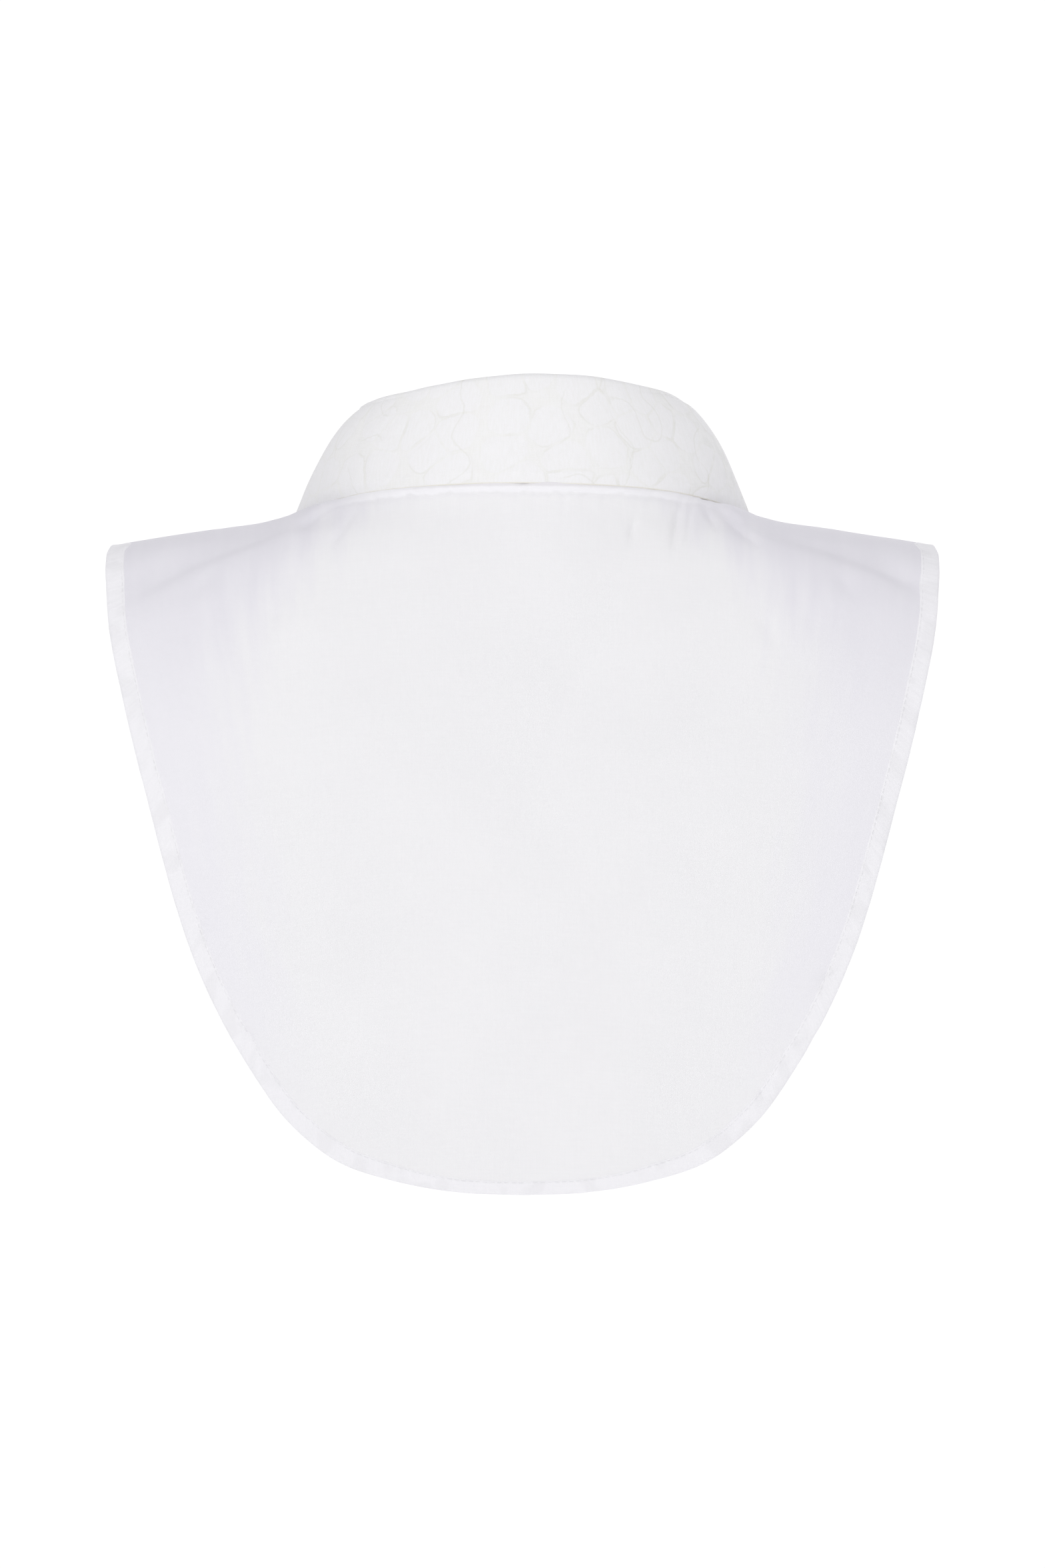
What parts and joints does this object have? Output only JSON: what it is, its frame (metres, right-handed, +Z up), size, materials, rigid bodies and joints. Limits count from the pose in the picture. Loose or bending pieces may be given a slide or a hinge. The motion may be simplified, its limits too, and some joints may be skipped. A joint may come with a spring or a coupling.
{
  "type": "detachable collar",
  "caption": "Worn-form white detachable collar with bib panels, a raised stand, a turned-down leaf with rounded lobes in its cloth, and a buttoned front",
  "frame": {"origin": "centre of the neck opening at the height of the side neck points, where the collar is held", "axes": "+Z up, the garment's front faces -Y and its back, the side in the picture, faces +Y, the garment's own left is +X"},
  "size_m": [0.3262, 0.2016, 0.3209],
  "materials": {
    "bib_cloth": "fine plain-weave white cotton, slightly sheer, matte",
    "collar_cloth": "cream-white cloth with raised rounded lobes, matte",
    "button_shell": "polished off-white"
  },
  "bodies": {
    "root": {"back_panel": "bib_cloth", "front_panel_left": "bib_cloth", "front_panel_right": "bib_cloth", "collar_stand": "collar_cloth", "collar_leaf": "collar_cloth", "stand_button": "button_shell", "front_button_1": "button_shell", "front_button_2": "button_shell"}
  },
  "joints": []
}
